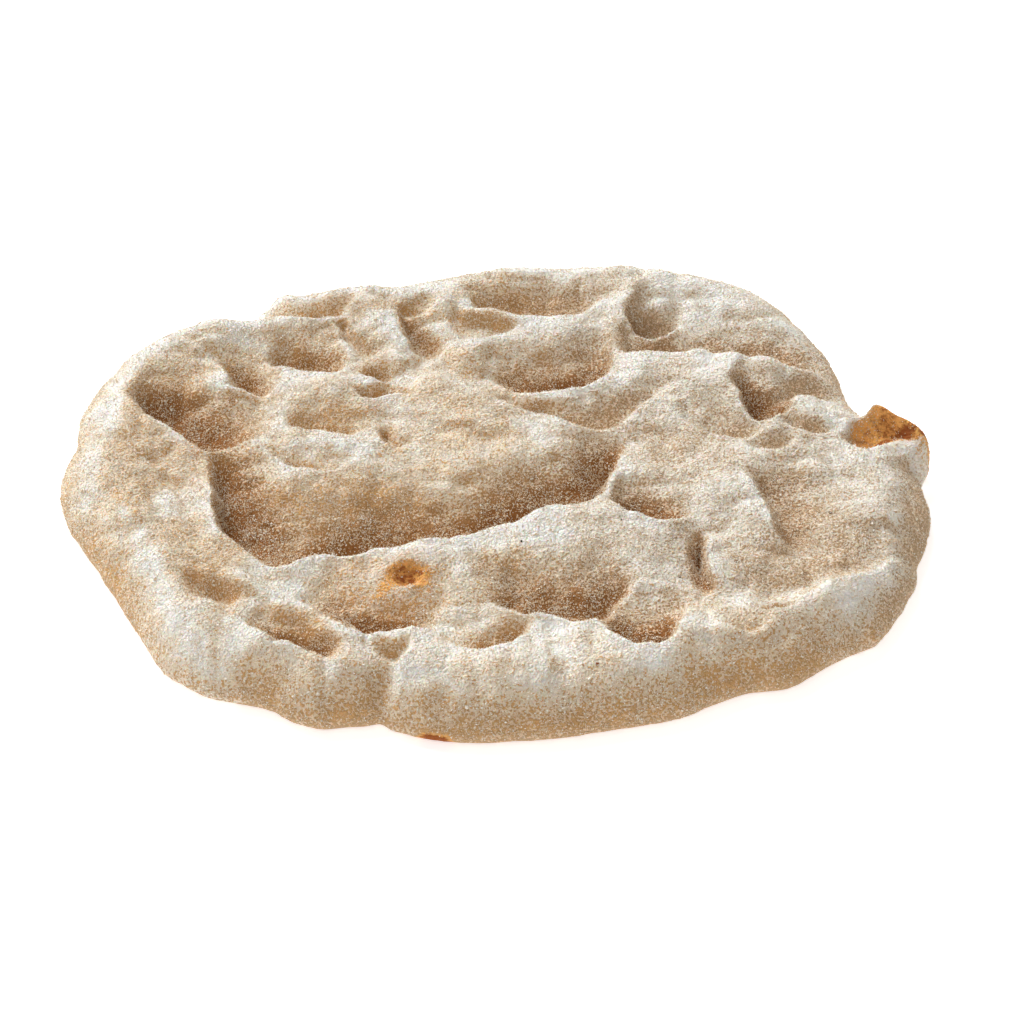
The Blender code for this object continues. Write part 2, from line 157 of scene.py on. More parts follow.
# Grains: sizes are across, and GRAIN_SINK is the share of a grain that is set into the skin
GRAIN_SINK = 0.3
GRAIN_SPREAD = 0.28  # how much their sizes differ
GRAINS = [  # name, where they lie, how many, size, random seed, what they are
    ("flour_grains_fine", "slopes", 49000, 0.45 * MM, 31, "flour"),
    ("flour_grains", "thick", 49000, 0.5 * MM, 32, "flour"),
    ("semolina_grains_fine", "slopes", 49000, 0.45 * MM, 33, "semolina"),
    ("semolina_grains", "slopes", 42000, 0.55 * MM, 34, "semolina"),
]
FLAKE_THICKNESS = 0.35 * MM
FLAKE_CORNERS = 6
FLAKE_WIDTH = 0.55  # as a share of its length
FLAKE_LIFT = 0.3  # how far its middle lies above the skin, as a share of its thickness

# Colours
FLOUR_CREAM = (0.95, 0.925, 0.865)
FLOUR_WARM = (0.88, 0.74, 0.56)
FLOUR_PALE = (0.87, 0.79, 0.67)
FLOUR_TAN = (0.82, 0.60, 0.40)
FLOUR_FLUSHED = (0.86, 0.66, 0.50)
DOUGH_TAN = (0.63, 0.38, 0.175)
DOUGH_GOLD = (0.70, 0.41, 0.175)
DOUGH_PALE = (0.50, 0.37, 0.25)
# the dough in painted shade
DOUGH_SHADED = (0.345, 0.15, 0.045)
BLUSH_ORANGE = (0.74, 0.40, 0.16)
CRUST_AMBER = (0.96, 0.50, 0.15)
CRUST_DARK = (0.38, 0.11, 0.025)
FLOUR_GRAIN = (0.95, 0.90, 0.80)
SEMOLINA_GRAIN = (0.80, 0.63, 0.43)
BRAN_CHARRED = (0.02, 0.014, 0.01)
BRAN_RUST = (0.3, 0.09, 0.03)

# Outer edge: radius from the middle at each angle, in degrees anticlockwise from +X, and in millimetres
EDGE_STEP = 10
EDGE_RADII = [
    146, 140, 134, 141, 147, 152, 148, 140, 135, 132, 128, 128,
    135, 134, 148, 155, 157, 155, 152, 145, 138, 136, 137, 130,
    126, 118, 118, 118, 117, 118, 122, 124, 133, 141, 145, 146,
]

# Nicks in that edge, or bumps where the depth is below 0: angle, spread in degrees, depth in millimetres
EDGE_NICKS = [
    (6.4, 2.9, -8.2),
    (13.6, 1.5, 3.5),
    (72, 5, -2),
    (122, 4, -2),
    (127.5, 3, -8),
    (131.5, 1.5, -3),
    (135, 3.5, 3.5),
    (148, 6, -2.3),
    (170.5, 4.5, 3),
    (194, 4, 1.2),
    (219, 6, -0.6),
    (227, 3, -1.5),
    (235, 3, 2),
    (243.5, 2.5, -1.5),
    (251, 1.6, 2),
    (272, 4, 1),
    (303, 4, 1.2),
    (315, 4, -3),
    (329.5, 3, -2),
    (345, 2.5, 1.5),
    (355.5, 3, -1),
]

# Everything below is in millimetres and degrees. Rows of pillows and presses are: middle x, y; reach along;
# reach to the front and to the back across; turn; height of the top of a pillow, or of the floor of a press.
PILLOWS = [
    # left
    (-60, 6, 48, 42, 28, 0, 18),
    (-62, 44, 26, 24, 14, -5, 18),
    (-47, 88, 26, 12, 12, -75, 17.5),
    (-46, 62, 14, 8, 6, 20, 16),
    # middle
    (-16, 40, 28, 26, 18, -20, 18),
    (3, 12, 36, 42, 28, -25, 17.5),
    (-17, -42, 28, 34, 14, 0, 18),
    (30, -26, 42, 40, 14, -3, 18),
    # back
    (26, 80, 24, 16, 12, 0, 17),
    (-7, 68, 22, 16, 14, 15, 17),
    (45, 92, 10, 12, 20, 60, 17.5),
    # right
    (76, 55, 50, 46, 18, -9, 18.5),
    (112, 30, 34, 40, 30, -30, 17),
    (84, 0, 44, 32, 32, 0, 17),
    (82, -52, 16, 14, 12, 10, 17),
]

PRESSES = [
    # hollow of the burst bubble
    (128.5, 20, 10, 8, 9, -35, 8.5),
    (138, 21, 9, 3.5, 6, -38, 12.5),
    # finger marks
    (-31, -53.5, 7.5, 6, 6, 20, 11),
    (54, 90, 9, 7, 8, 10, 3),
    (-29, 77, 13, 7, 7, -65, 6),
    (-70, 62, 10, 6, 9, 80, 6),
]

# Valleys run between the pillows: height of the floor, reach of the slope on the left of the line, reach of
# the wall on its right, and the line itself
VALLEYS = [
    # left basin and its neighbours
    (4, 36, 5, [
        (-135, 48), (-126, 38.5), (-118, 30), (-109, 22), (-101, 16), (-92, 15), (-78, 22),
    ]),
    (6.5, 15, 4, [(-102, 66.5), (-97, 57.5), (-92, 49.5), (-87, 45), (-80, 44.5)]),
    (6.5, 27, 4.5, [(-87, 67.5), (-78, 61.5), (-70, 60), (-62, 61.5), (-54, 69.5)]),
    (9.5, 9, 3.5, [(-55, 62.5), (-50, 57.5), (-45, 54.5), (-38, 58.5)]),
    (9.5, 8, 3.5, [(-55, 46.5), (-49, 42), (-42, 44.5), (-36, 47.5), (-28, 46.5)]),
    (10.5, 15, 4, [(-78, 31.5), (-65, 25.5), (-58, 22.5), (-52, 22.5), (-44, 28.5)]),
    (9.5, 7, 3.5, [(-41, 28.5), (-39, 18.5), (-36, 13.5), (-29, 17.5)]),
    (11, 13, 4.5, [(-84, 17), (-77, 8.5), (-71, 4), (-64, 1), (-56, 0.5), (-46, 8.5)]),
    # back rim
    (10, 16, 4, [(-92, 97.5), (-80, 94.5), (-69, 92.5), (-60, 93.5), (-50, 105.5)]),
    (9.5, 14, 3, [(-62, 93.5), (-57, 83.5), (-51, 73.5), (-46, 62.5)]),
    (11, 11, 3.5, [(-48, 104.5), (-40, 95.5), (-34, 94.5), (-24, 98.5)]),
    (6, 18, 3.5, [(-40, 97.5), (-36, 85.5), (-32, 75.5), (-27, 68.5), (-19, 71.5)]),
    (10, 20, 4, [(-21, 92.5), (-14, 81.5), (-8, 77.5), (0, 80.5), (7, 89.5)]),
    (7, 24, 4.5, [
        (-17, 114.5), (-11, 100.5), (-3, 96.5), (8, 94.5), (20, 94.5), (29, 95.5), (36, 102.5), (45, 111.5),
    ]),
    (3, 15, 4, [(44, 100), (46, 90), (50, 85), (56, 83), (62, 85.5), (68, 96)]),
    (7, 26, 4.5, [
        (34, 82.5), (44, 71.5), (56, 70.5), (68, 70.5), (80, 70.5), (90, 67), (99, 62.5), (108, 59.5),
        (126, 57.5),
    ]),
    # middle of the back half
    (4.5, 30, 4.5, [(-6, 58.5), (5, 50.5), (14, 49), (24, 49), (31, 50.5), (37, 59.5), (42, 76.5)]),
    (10, 16, 4, [
        (-10, 44.5), (2, 39.5), (10, 36.5), (17, 33.5), (24, 28.5), (31, 27.5), (38, 30.5), (47, 38.5),
        (57, 45.5), (66, 49.5),
    ]),
    # right
    (5.5, 20, 4, [(82, 53.5), (86, 43.5), (90, 34.5), (96, 31), (102, 33.5), (108, 44.5)]),
    (10.5, 13, 3.5, [(95, 42.5), (106, 41.5), (114, 42.5), (124, 42.5)]),
    (11, 15, 4, [(61, 36.5), (69, 28.5), (77, 22.5), (86, 21.5), (97, 27.5)]),
    (11.5, 8, 3, [(84, 17), (90, 14), (96, 14), (103, 17)]),
    (11, 8, 3.5, [(99, 36.5), (102, 26.5), (108, 22.5), (114, 22), (122, 26.5)]),
    (8.5, 22, 5, [(84, 2), (91, -7), (95, -16), (95, -25), (97, -33), (104, -42)]),
    # long valley on the left, and on across the middle
    (4, 26, 4.5, [
        (-101, 14), (-97, 0.5), (-94, -11.5), (-91, -22.5), (-86, -32), (-78, -40.5), (-69, -45),
        (-58, -43.5),
    ]),
    (6.5, 32, 4.5, [
        (-90, -35.5), (-76, -43.5), (-64, -42.5), (-52, -40.5), (-42, -37.5), (-30, -35.5), (-18, -33.5),
        (-6, -28.5), (10, -20.5),
    ]),
    (4.5, 27, 4.5, [(-18, -33.5), (-4, -26.5), (7, -23.5), (14, -18.5), (22, -16), (34, -13.5)]),
    (4.5, 24, 4, [(10, -23.5), (23, -17.5), (31, -11.5), (34, -2.5), (37, 7.5), (42, 20.5)]),
    (6, 20, 4, [(37, -12.5), (45, -20.5), (51, -23.5), (58, -25.5), (67, -18.5)]),
    (6, 6, 2, [(67.5, -61), (67, -51), (67.5, -41), (69, -29)]),
    # front
    (6.5, 32, 4.5, [(-8, -60.5), (3, -65.5), (12, -68.5), (21, -71), (29, -70), (36, -63.5), (45, -51.5)]),
    (3.5, 26, 4, [(28, -70), (35, -79), (41, -85), (49, -86), (56, -79), (62, -69)]),
    (12.5, 12, 3.5, [(67, -74.5), (74, -79.5), (81, -80.5), (89, -74.5)]),
    (11.5, 8, 3.5, [(80, -67), (87, -70.5), (93, -69), (100, -61)]),
    (10.5, 28, 9, [(68, -55.5), (82, -60.5), (96, -58.5), (108, -52.5), (120, -43.5), (131, -29.5)]),
    (10.5, 11, 7, [(-104, -45.5), (-97, -55.5), (-91, -61.5), (-85, -66.5), (-79, -70.5)]),
    (8, 13, 3.5, [(-81, -74.5), (-73, -80.5), (-65, -86), (-57, -90.5), (-47, -94.5)]),
    (5.5, 22, 4, [
        (-65, -61.5), (-57, -71.5), (-51, -77.5), (-46, -80.5), (-38, -80.5), (-29, -78.5), (-17, -73.5),
    ]),
    (12, 6, 3.5, [(-42, -86.5), (-37, -93.5), (-32, -93.5), (-27, -87.5)]),
    (9, 12, 4, [(-18, -82.5), (-12, -86.5), (-6, -88.5), (0, -85.5), (6, -79.5), (13, -74.5)]),
]

# Folds stand up as narrow ridges: height of the crest, half-width, and the line it follows
FOLDS = [
    (17.5, 7, [
        (-109, -38), (-99, -47), (-83, -57), (-72, -65), (-58, -74), (-48, -83), (-40, -94), (-36, -102),
    ]),
    (17, 6, [(-92, -82), (-84, -75), (-76, -66)]),
    (17, 5, [(-22, 110), (-13, 94), (0, 89.5), (15, 88), (29, 89), (37, 98)]),
    (18, 5, [(53, 119), (49, 108), (44, 96), (40, 86), (42, 74), (44, 64)]),
    (16, 5, [(4, 45), (14, 44), (24, 43.5), (34, 46), (40, 54)]),
    (17, 5, [(-130, 32), (-117, 19), (-104, 8)]),
    (16, 4, [(-86, 88), (-78, 88), (-68, 87), (-56, 90), (-50, 98)]),
    (17, 4, [(-48, 106), (-56, 92), (-52, 80), (-46, 70)]),
    (17, 4, [(-48, 106), (-40, 92), (-35, 76)]),
    (15, 4, [(-54, 58), (-46, 63), (-38, 67)]),
    (17.5, 5, [(-76, 46), (-66, 51), (-57, 50), (-50, 44)]),
    (16, 4.5, [(130, 11), (137, 14), (143, 14.5), (152, 13)]),
    (16, 4.5, [(112, 39), (119, 37.5), (124, 35.5), (129, 32)]),
]

# Creases are narrow grooves: depth, half-width, and the line
CREASES = [
    (1, 3, [(-122, 78), (-112, 74), (-104, 67), (-100, 59), (-94, 48)]),
    (2, 5, [(-35, -90), (-36, -100), (-38, -110), (-39, -122)]),
    (1.5, 2.5, [(138, -38), (133, -32), (127, -28)]),
    (1.8, 5, [(17, -74), (20, -84), (21, -95), (20, -110)]),
    (0.7, 3, [(3, -46), (8, -54), (12, -64)]),
    (1.2, 4, [(-148, 22), (-136, 16), (-124, 2), (-116, -16)]),
    (1.2, 4, [(-146, -8), (-136, -14), (-126, -26), (-118, -36)]),
    (1.3, 3, [(-122, 10), (-112, -4), (-106, -20), (-100, -34)]),
    (1.1, 3, [(-132, 2), (-122, -10), (-113, -26), (-104, -40)]),
    (1.2, 4, [(104, 18), (112, 10), (116, 0), (124, -8)]),
    (1.2, 4, [(46, 30), (54, 20), (58, 8), (66, 2)]),
    (1.4, 4, [(58, -84), (72, -88), (86, -84), (98, -76)]),
    (1.2, 4, [(-28, 32), (-20, 22), (-8, 18), (4, 22)]),
]

# The burst bubble: a thin wall of crust that stands up along the right-hand edge, from its tip to its corner
BURST_TIP = 23.5  # height of its crest at the tip
BURST_CORNER = 18.5  # and at the corner
BURST_HALF_WIDTH = 3.2  # half of its width at the foot
BURST_WALL = [(131, 28.4), (136, 24.8), (140.4, 21.6), (144.6, 18), (147.6, 14)]

# Coloured places on the skin, all soft ovals, in millimetres and degrees. Rows are: middle x, y; reach along;
# reach across; turn; strength.

# Browned crust: the blister near the front, and the inside of the burst bubble
BROWNED = [
    (-29.5, -55, 9, 6.5, -5, 1),
    (-35, -58, 8, 4.5, 35, 0.7),
    (139, 21.5, 14, 8, -38, 1),
    (129, 22, 7, 7, -35, 0.8),
    (146, 20, 10, 4, -50, 1.5),
    (137, 18.5, 12, 3.5, -8, 1.4),
]

# Scorched only low down, where the rim meets the table
SCORCHED_FOOT = [(-20, -112, 8, 9, 0, 1.9)]

# A faint orange flush, where the crust has only begun to colour
BLUSH = [
    (-31, -54, 16, 12, -8, 0.8),
    (-50, -49, 9, 5, -20, 0.8),
    (-35, -62, 22, 11, -20, 0.45),
    (-107, 13, 11, 5, -40, 0.7),
    (-30, 32, 8, 5, 10, 0.6),
    (-45, 36, 7, 5, 0, 0.7),
    (-111, 56, 10, 6, 50, 0.4),
    (124, 31, 8, 6, -20, 0.8),
    (142, 13, 12, 5, -20, 0.6),
]

# Places with little flour, so that the golden dough shows, which also darken hollows and slopes as painted
# shade
BARE_AND_SHADED = [
    (-57, 32, 12, 6, 10, 0.7),
    (-52, -14, 34, 10, 3, 0.8),
    (-65, -78, 18, 8, -38, 0.8),
    (-98, 3, 18, 9, -60, 0.8),
    (14, 103, 26, 6, 0, 0.7),
    (-40, 96, 10, 6, 0, 0.6),
    (-8, 91, 14, 7, 5, 0.6),
    (-108, 28, 24, 9, -42, 0.5),
    (-88, -20, 30, 8, -62, 0.6),
    (97, -33, 30, 22, 0, 0.6),
    (66, 8, 22, 18, 0, 0.5),
    (-97, -37, 20, 20, 0, 0.8),
    (-128, -10, 60, 14, 85, 0.65),
]

# Places with more flour than around them, which also lighten a bright lip and places in shade as painted
# light
DUSTY_AND_LIT = [
    (144, 11, 10, 5, -20, 1.1),
    (120, 27, 7, 7, 0, 1),
    (-4, -33, 26, 14, 0, 0.4),
    (-65, -72, 24, 16, -30, 0.4),
    (-95, -100, 28, 14, -35, 0.6),
    (-62, 8, 24, 10, 0, 0.5),
    (125, -62, 30, 14, 50, 0.4),
]

# Flakes of bran on the flour, charred or rusty brown: x, y and length, in millimetres
BRAN = [
    (7, -38.5, 1.3), (-49.7, -29.8, 1.2), (-24, 64, 0.9), (111, -21.5, 1.1), (-76.6, 17.3, 0.9),
    (-70.4, 15, 0.8), (59, -52.5, 0.9), (65.8, -43, 0.8), (41, -29, 0.9), (-48.7, -81.6, 0.8),
]
RUST_BRAN = [(31, -97, 1.6), (-139, 1, 0.8), (-134, 3, 0.7)]


def periodic_spline(values, position):
    """Smooth closed curve through evenly spaced values; position counts in steps round the loop."""
    values = np.asarray(values, float)
    first = np.floor(position).astype(int)
    t = position - first
    before, start, end, after = (values[(first + k) % len(values)] for k in (-1, 0, 1, 2))
    return start + 0.5 * t * (
        end - before
        + t * (2 * before - 5 * start + 4 * end - after + t * (3 * (start - end) + after - before))
    )


def edge_radius(angle):
    """Plan radius of the bread's outermost line."""
    degrees = np.degrees(angle)
    radius = periodic_spline(EDGE_RADII, degrees / EDGE_STEP)
    for middle, spread, depth in EDGE_NICKS:
        away = (degrees - middle + 180) % 360 - 180
        radius = radius - depth * np.exp(-((away / spread) ** 2))
    return MM * radius


def ripple(x, y, wavelength, seed):
    """Smooth random waves from -1 to 1, about one wavelength apart. All in millimetres."""
    size = 512
    grid = np.random.default_rng(seed).uniform(-1, 1, (size, size))
    u, v = x / wavelength + size / 2, y / wavelength + size / 2
    i, j = np.floor(u).astype(int) % (size - 1), np.floor(v).astype(int) % (size - 1)
    u, v = u - np.floor(u), v - np.floor(v)
    u, v = u * u * u * (u * (6 * u - 15) + 10), v * v * v * (v * (6 * v - 15) + 10)
    low = grid[i, j] * (1 - u) + grid[i + 1, j] * u
    high = grid[i, j + 1] * (1 - u) + grid[i + 1, j + 1] * u
    return low * (1 - v) + high * v


def billow(x, y, wavelength, seed):
    """Random round lumps with soft creases between them, from about 0 to 1. All in millimetres."""
    return np.sqrt(ripple(x, y, wavelength, seed) ** 2 + 0.006)


def smooth_step(low, high, value):
    """0 at low and 1 at high, whichever is larger, with a smooth step between and no change beyond them."""
    t = np.clip((value - low) / (high - low), 0, 1)
    return t * t * (3 - 2 * t)


def oval_share(x, y, middle_x, middle_y, reach, front, back, turn):
    """1 in the middle of an oval, falling smoothly to 0 at its edge. Its front and back halves may differ."""
    c, s = math.cos(math.radians(turn)), math.sin(math.radians(turn))
    dx, dy = x - middle_x, y - middle_y
    along, across = dx * c + dy * s, dy * c - dx * s
    across = np.where(across < 0, across / front, across / back)
    return np.clip(1 - (along / reach) ** 2 - across**2, 0, 1)


def valley_share(x, y, back, front, line):
    """How deep a valley is, from 1 along its bottom to 0, and how high the lip in front of it swells.

    On the left of the line, as it is followed, it rises like a dome, and on the right like a wall.
    """
    heading = math.atan2(line[-1][1] - line[0][1], line[-1][0] - line[0][0])
    c, s = math.cos(heading), math.sin(heading)
    line_along = [px * c + py * s for px, py in line]
    line_across = [py * c - px * s for px, py in line]
    along, across = x * c + y * s, y * c - x * s
    softened = [np.interp(along + shift, line_along, line_across) for shift in (-4, -2, 0, 2, 4)]
    front = 1.25 * front
    gap = across - sum(softened) / len(softened) - 0.15 * front
    run = (along - line_along[0]) / (line_along[-1] - line_along[0])
    ends = np.clip(1 - np.abs(2 * run - 1) ** VALLEY_ENDS, 0, 1) ** 1.5
    dome = np.clip(1.03 - np.hypot(gap / back, 0.03), 0, 1) ** VALLEY_BEND
    wall = np.clip(1 - (gap / front) ** 2, 0, 1) ** 1.7
    lip = smooth_step(0.2, 1.2, -gap / front) * np.clip(1 + (gap + front) / LIP_REACH, 0, 1) ** 2
    return np.where(gap > 0, dome, wall) * ends, lip * ends


def line_share(x, y, half_width, line, tapered=True):
    """1 on a line through these points, falling to 0 at half_width from it, and how far along it that is."""
    best, best_run = np.zeros_like(x), np.zeros_like(x)
    count = len(line) - 1
    for k in range(count):
        (ax, ay), (bx, by) = line[k], line[k + 1]
        dx, dy = bx - ax, by - ay
        t = np.clip(((x - ax) * dx + (y - ay) * dy) / (dx * dx + dy * dy), 0, 1)
        gap = ((x - ax - t * dx) ** 2 + (y - ay - t * dy) ** 2) / half_width**2
        run = (k + t) / count
        share = np.clip(1 - gap, 0, 1) ** 1.5
        if tapered:
            share = share * (1 - (2 * run - 1) ** 4)
        best_run = np.where(share > best, run, best_run)
        best = np.maximum(best, share)
    return best, best_run


def wandered(u, v):
    """Plan places in millimetres, shifted a little so that every outline strays from a true one."""
    x = u + WANDER * ripple(u, v, 15, 3) + 0.5 * WANDER * ripple(u, v, 6, 5)
    y = v + WANDER * ripple(u, v, 15, 4) + 0.5 * WANDER * ripple(u, v, 6, 6)
    return x, y


def top_level(x, y, inset):
    """Height of the dough at a plan point that lies this far in from the edge, before the rim rounds over."""
    u, v, inset = x / MM, y / MM, inset / MM
    x, y = wandered(u, v)
    uneven = 0.9 + 0.25 * ripple(u, v, 13, 7)
    swell = np.exp(-(((inset - RIM_INSET / MM) / (RIM_BREADTH / MM)) ** 2))
    level = CRUMB_LEVEL + (RIM_LEVEL - CRUMB_LEVEL) * swell
    for middle_x, middle_y, reach, front, back, turn, top in PILLOWS:
        raised = oval_share(x, y, middle_x, middle_y, reach, front, back, turn)
        level = level + (top - level) * raised
    for middle_x, middle_y, reach, front, back, turn, floor in PRESSES:
        pressed = oval_share(x, y, middle_x, middle_y, reach, front, back, turn) ** 1.7
        level = level - np.maximum(level - floor, 0) * pressed
    shares = [(floor, *valley_share(x, y, back, front, line)) for floor, back, front, line in VALLEYS]
    lips = np.max([lip * smooth_step(13, 7, floor) for floor, _, lip in shares], axis=0)
    level = level + LIP_SWELL * np.maximum(LIP_LEVEL - level, 0) * lips
    for floor, deep, _ in shares:
        level = level - np.maximum(level - floor, 0) * deep * uneven
    for top, half_width, line in FOLDS:
        level = level + np.maximum(top - level, 0) * line_share(x, y, half_width, line)[0]
    for depth, half_width, line in CREASES:
        level = level - depth * line_share(x, y, half_width, line)[0]
    for height, wavelength, seed in LUMPS:
        level = level + height * billow(u, v, wavelength, seed)
    level = level - LUMPS_SINK
    spare = level - THINNEST
    level = THINNEST + 0.5 * (spare + np.sqrt(spare**2 + 2))
    share, run = line_share(u, v, BURST_HALF_WIDTH, BURST_WALL, tapered=False)
    level = level + np.maximum(BURST_TIP + (BURST_CORNER - BURST_TIP) * run**1.6 - level, 0) * share
    return MM * level


def edge_roll(angle):
    """How far in from the edge the rim starts to round over: nearly at once where the burst bubble stands."""
    away = (np.degrees(angle) - BURST_ANGLE + 180) % 360 - 180
    return EDGE_ROLL - BURST_ROLL_LOSS * np.exp(-((away / BURST_SPREAD) ** 6))


def ring_angles(count):
    return 2 * math.pi * np.arange(count) / count


def top_ring(count, share):
    """Points across the top, this share of the way from the middle to where the rim rounds over."""
    angle = ring_angles(count)
    radius = share * (edge_radius(angle) - edge_roll(angle))
    x, y = radius * np.cos(angle), radius * np.sin(angle)
    return np.stack([x, y, top_level(x, y, edge_radius(angle) - radius)], 1)


def rolled_ring(count, quarter):
    """Points round the rim: quarter runs from 0, on top, through 1, the waist, to 2, on the table."""
    angle = ring_angles(count)
    turned = quarter * math.pi / 2
    inset = (edge_roll(angle) if quarter < 1 else UNDER_ROLL) * (1 - math.sin(turned))
    radius = edge_radius(angle) - inset
    x, y = radius * np.cos(angle), radius * np.sin(angle)
    if quarter < 1:
        level = top_level(x, y, inset)
        level = WAIST_LEVEL + (level - WAIST_LEVEL) * math.cos(turned)
    else:
        level = np.full(count, WAIST_LEVEL * (1 + math.cos(turned)))
    return np.stack([x, y, level], 1)


def under_ring(count, share):
    angle = ring_angles(count)
    radius = share * (edge_radius(angle) - UNDER_ROLL)
    return np.stack([radius * np.cos(angle), radius * np.sin(angle), np.zeros(count)], 1)


def skin_rings(top_rings, roll_rings, under_roll_rings, under_rings):
    """Every ring of the skin in order, from the middle of the top to the middle of the underside."""
    count = 6 * top_rings
    rings = [top_ring(1, 0)]
    rings += [top_ring(6 * k, k / top_rings) for k in range(1, top_rings + 1)]
    rings += [rolled_ring(count, k / roll_rings) for k in range(1, roll_rings + 1)]
    rings += [rolled_ring(count, 1 + k / under_roll_rings) for k in range(1, under_roll_rings + 1)]
    for k in range(under_rings - 1, 0, -1):
        share = k / under_rings
        rings.append(under_ring(max(6, int(count * share) // 2), share))
    rings.append(under_ring(1, 0))
    return rings


def strip(first, first_count, second, second_count):
    """Triangles between two rings whose points start at these indices, matched by angle."""
    faces = []
    i = j = 0
    while i < first_count or j < second_count:
        first_is_nearer = (i + 1) * second_count <= (j + 1) * first_count
        step_first = j == second_count or (i < first_count and first_is_nearer)
        a, b = first + i % first_count, second + j % second_count
        if step_first:
            i += 1
            faces.append((a, b, first + i % first_count))
        else:
            j += 1
            faces.append((a, b, second + j % second_count))
    return [face for face in faces if len(set(face)) == 3]


def plan_middle():
    """Middle of the outline's extents, which the bread is centred on."""
    rim = rolled_ring(6 * SOLID_TOP_RINGS, 1)
    return (rim.min(axis=0) + rim.max(axis=0)) / 2 * (1, 1, 0)


def skin(top_rings, roll_rings, under_roll_rings, under_rings):
    """(points, triangles) of the whole bread."""
    rings = skin_rings(top_rings, roll_rings, under_roll_rings, under_rings)
    starts = np.cumsum([0] + [len(ring) for ring in rings])
    faces = []
    for k in range(len(rings) - 1):
        faces += strip(starts[k], len(rings[k]), starts[k + 1], len(rings[k + 1]))
    return np.concatenate(rings) - plan_middle(), faces


# ---------------------------------------------------------------- the skin

def new_mesh(name, points, faces, smooth):
    """An object made from an array of points in metres and an array of triangles."""
    points, faces = np.asarray(points, np.float32), np.asarray(faces, np.int32)
    mesh = bpy.data.meshes.new(name)
    mesh.vertices.add(len(points))
    mesh.vertices.foreach_set("co", points.ravel())
    mesh.loops.add(faces.size)
    mesh.loops.foreach_set("vertex_index", faces.ravel())
    mesh.polygons.add(len(faces))
    mesh.polygons.foreach_set("loop_start", np.arange(0, faces.size, 3, dtype=np.int32))
    mesh.polygons.foreach_set("use_smooth", np.full(len(faces), smooth))
    mesh.update(calc_edges=True)
    made = bpy.data.objects.new(name, mesh)
    bpy.context.scene.collection.objects.link(made)
    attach(made, "root")
    return made


def point_normals(points, faces):
    """Unit normals at the points, from the triangles that meet there."""
    a, b, c = (points[faces[:, k]] for k in range(3))
    across = np.cross(b - a, c - a)
    normals = np.zeros_like(points)
    for k in range(3):
        np.add.at(normals, faces[:, k], across)
    return normals / np.maximum(np.linalg.norm(normals, axis=1, keepdims=True), 1e-20)


def spots_share(x, y, spots):
    """How strongly a plan point is marked, by the strongest of these soft ovals with straying edges."""
    x, y = x + SPOT_WANDER * ripple(x, y, 5, 61), y + SPOT_WANDER * ripple(x, y, 5, 62)
    share = np.zeros_like(x)
    for middle_x, middle_y, reach, across, turn, strength in spots:
        oval = oval_share(x, y, middle_x, middle_y, reach, across, across, turn)
        share = np.maximum(share, strength * smooth_step(0, 0.8, oval))
    return share


def valley_masks(u, v):
    """Painted shade, 1 at the bottom of a deep valley, and painted highlight, 1 on the crest in front of it,
    both fading off.
    """
    x, y = wandered(u, v)
    shade_and_bare, crest_highlight = np.zeros_like(x), np.zeros_like(x)
    for floor, back, front, line in VALLEYS:
        share, lip = valley_share(x, y, back, front, line)
        down = np.minimum(1.35 * share ** (1 / VALLEY_BEND), 1) ** 1.5
        shade_and_bare = np.maximum(shade_and_bare, down * smooth_step(14, 4, floor))
        # A painted highlight on the crest in front of each deep valley
        crest_highlight = np.maximum(crest_highlight, lip**3 * smooth_step(13, 7, floor))
    return shade_and_bare, crest_highlight * (1 - shade_and_bare)


def dressed_skin():
    """The skin's points, faces and normals, with the low relief, and the masks that its material reads."""
    points, faces = skin(TOP_RINGS, ROLL_RINGS, UNDER_ROLL_RINGS, UNDER_RINGS)
    faces = np.array(faces)
    normals = point_normals(points, faces)
    u, v = ((points[:, :2] + plan_middle()[:2]) / MM).T
    off_table = smooth_step(0, 2.5, points[:, 2] / MM)
    clots = sum(height * ripple(u, v, wavelength, seed) for height, wavelength, seed in CLOTS)
    radius, turned = np.hypot(u, v), np.arctan2(v, u)
    rim = smooth_step(WRINKLED_FROM, WRINKLED_FULLY, radius)
    waves = ripple(turned * WRINKLE_ROUND, radius / WRINKLE_ALONG, WRINKLE_WAVE, 14)
    away = (clots + WRINKLE_HEIGHT * rim * waves) * off_table * MM
    masks = flour_masks(u, v, points, normals)
    points = np.clip(points + normals * away[:, None], np.array(cad_low), np.array(cad_high))
    return points, faces, point_normals(points, faces), masks


